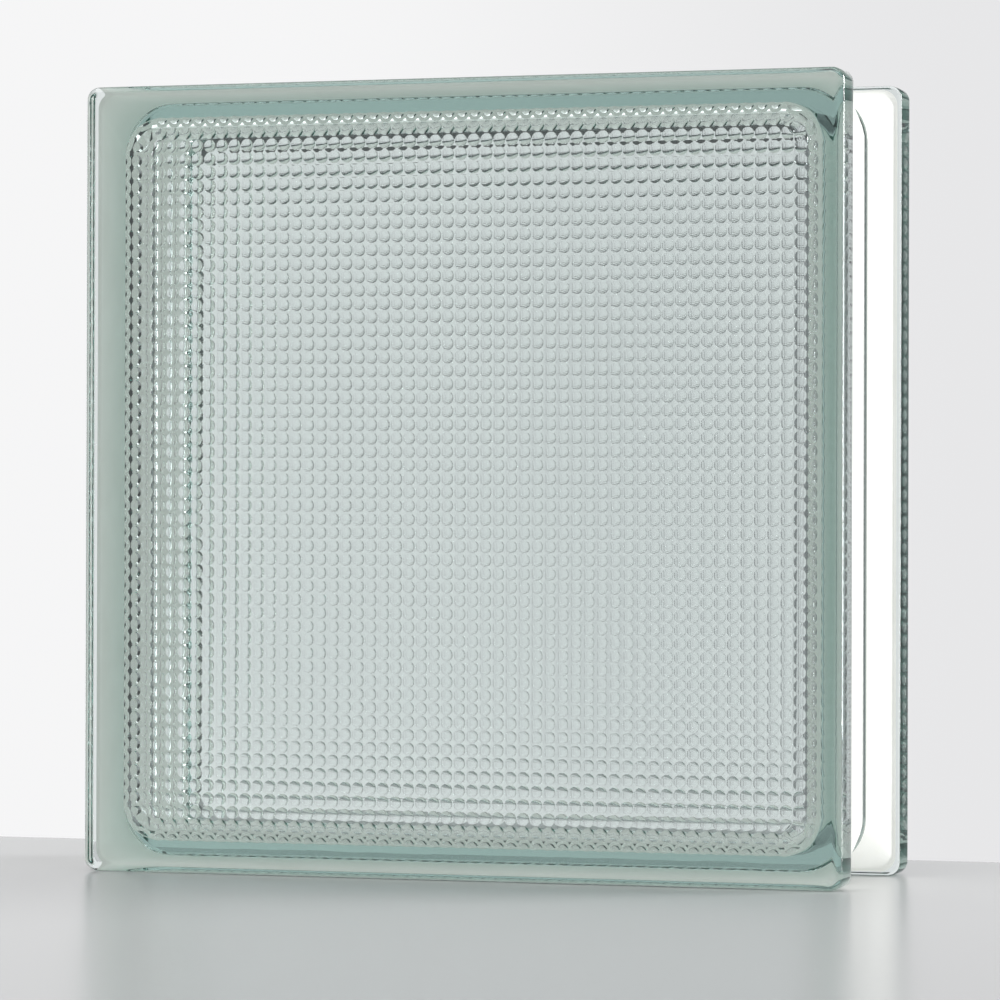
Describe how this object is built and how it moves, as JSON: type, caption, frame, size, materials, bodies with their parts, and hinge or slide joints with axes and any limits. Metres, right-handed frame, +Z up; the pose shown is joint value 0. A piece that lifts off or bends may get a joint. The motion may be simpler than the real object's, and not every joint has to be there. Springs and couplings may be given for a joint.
{
  "type": "glass block",
  "caption": "Square hollow glass block: pressed dishes fused at a mid-depth seam, with lips round the faces, a mortar keyway round the edge and fine lens relief inside the panes.",
  "frame": {"origin": "middle of the foot, on the plane that the block stands on, under the seam", "axes": "+X along the width, +Y from the front face to the rear face, +Z up"},
  "size_m": [0.24, 0.08, 0.24],
  "materials": {
    "glass": "clear pressed soda-lime glass with a faint green tint, fire-polished, with fine lens relief on the inner faces of the panes"
  },
  "bodies": {
    "root": {"front_half": "glass", "rear_half": "glass"}
  },
  "joints": []
}
